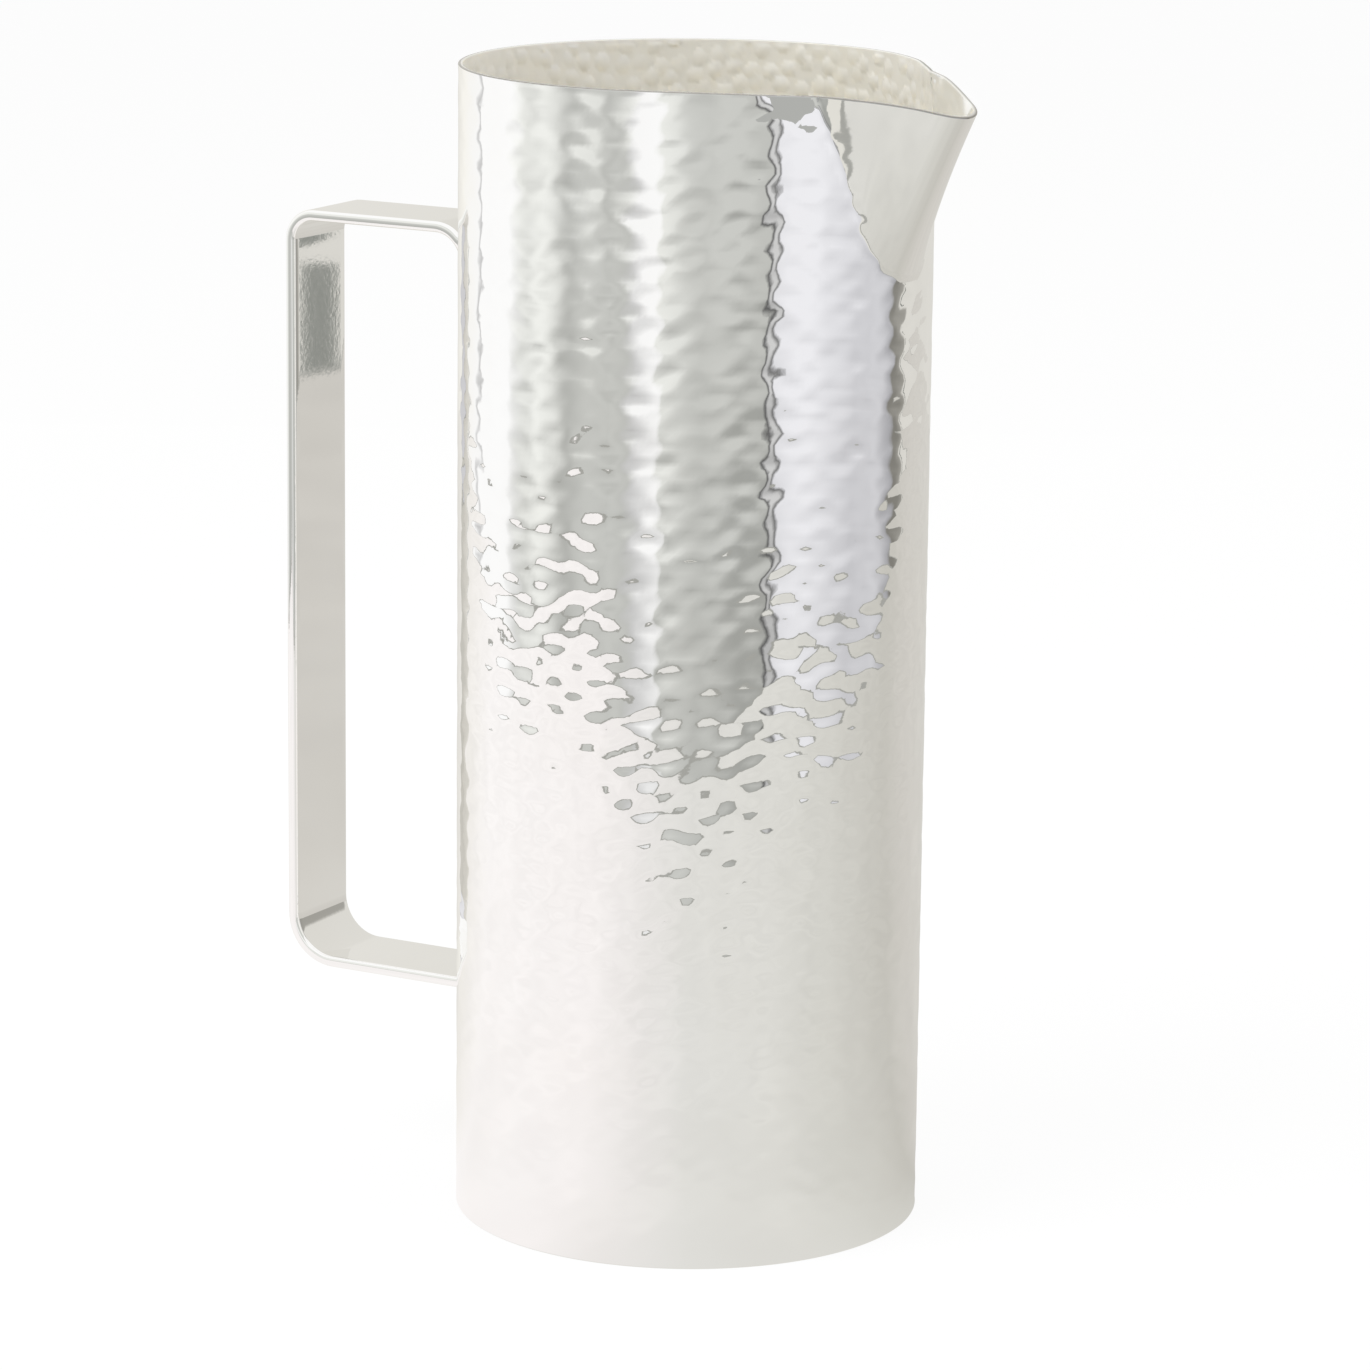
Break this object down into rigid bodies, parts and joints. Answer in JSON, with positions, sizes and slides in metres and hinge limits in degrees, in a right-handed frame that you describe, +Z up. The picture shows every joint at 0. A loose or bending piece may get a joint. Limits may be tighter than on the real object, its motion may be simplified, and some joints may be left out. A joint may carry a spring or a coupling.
{
  "type": "hammered metal pitcher",
  "caption": "Tall straight-sided pitcher in hammered silver-coloured sheet, with a smooth pouring spout, a square strap handle and a flat base.",
  "frame": {"origin": "middle of the flat base, on the surface the pitcher stands on", "axes": "+Z up along the body's axis, +X towards the spout's tip, -X towards the handle"},
  "size_m": [0.1599, 0.1, 0.247],
  "materials": {
    "hammered_silver": "hand-hammered bright silver plate, polished over the dimples",
    "smooth_silver": "smooth bright silver plate, polished",
    "base_silver": "flat silver plate, lightly brushed and scuffed from standing",
    "polished_strap": "flat bar, silver plated and polished"
  },
  "bodies": {
    "root": {"body_wall": "hammered_silver", "spout": "smooth_silver", "base_disc": "base_silver", "handle": "polished_strap"}
  },
  "joints": []
}
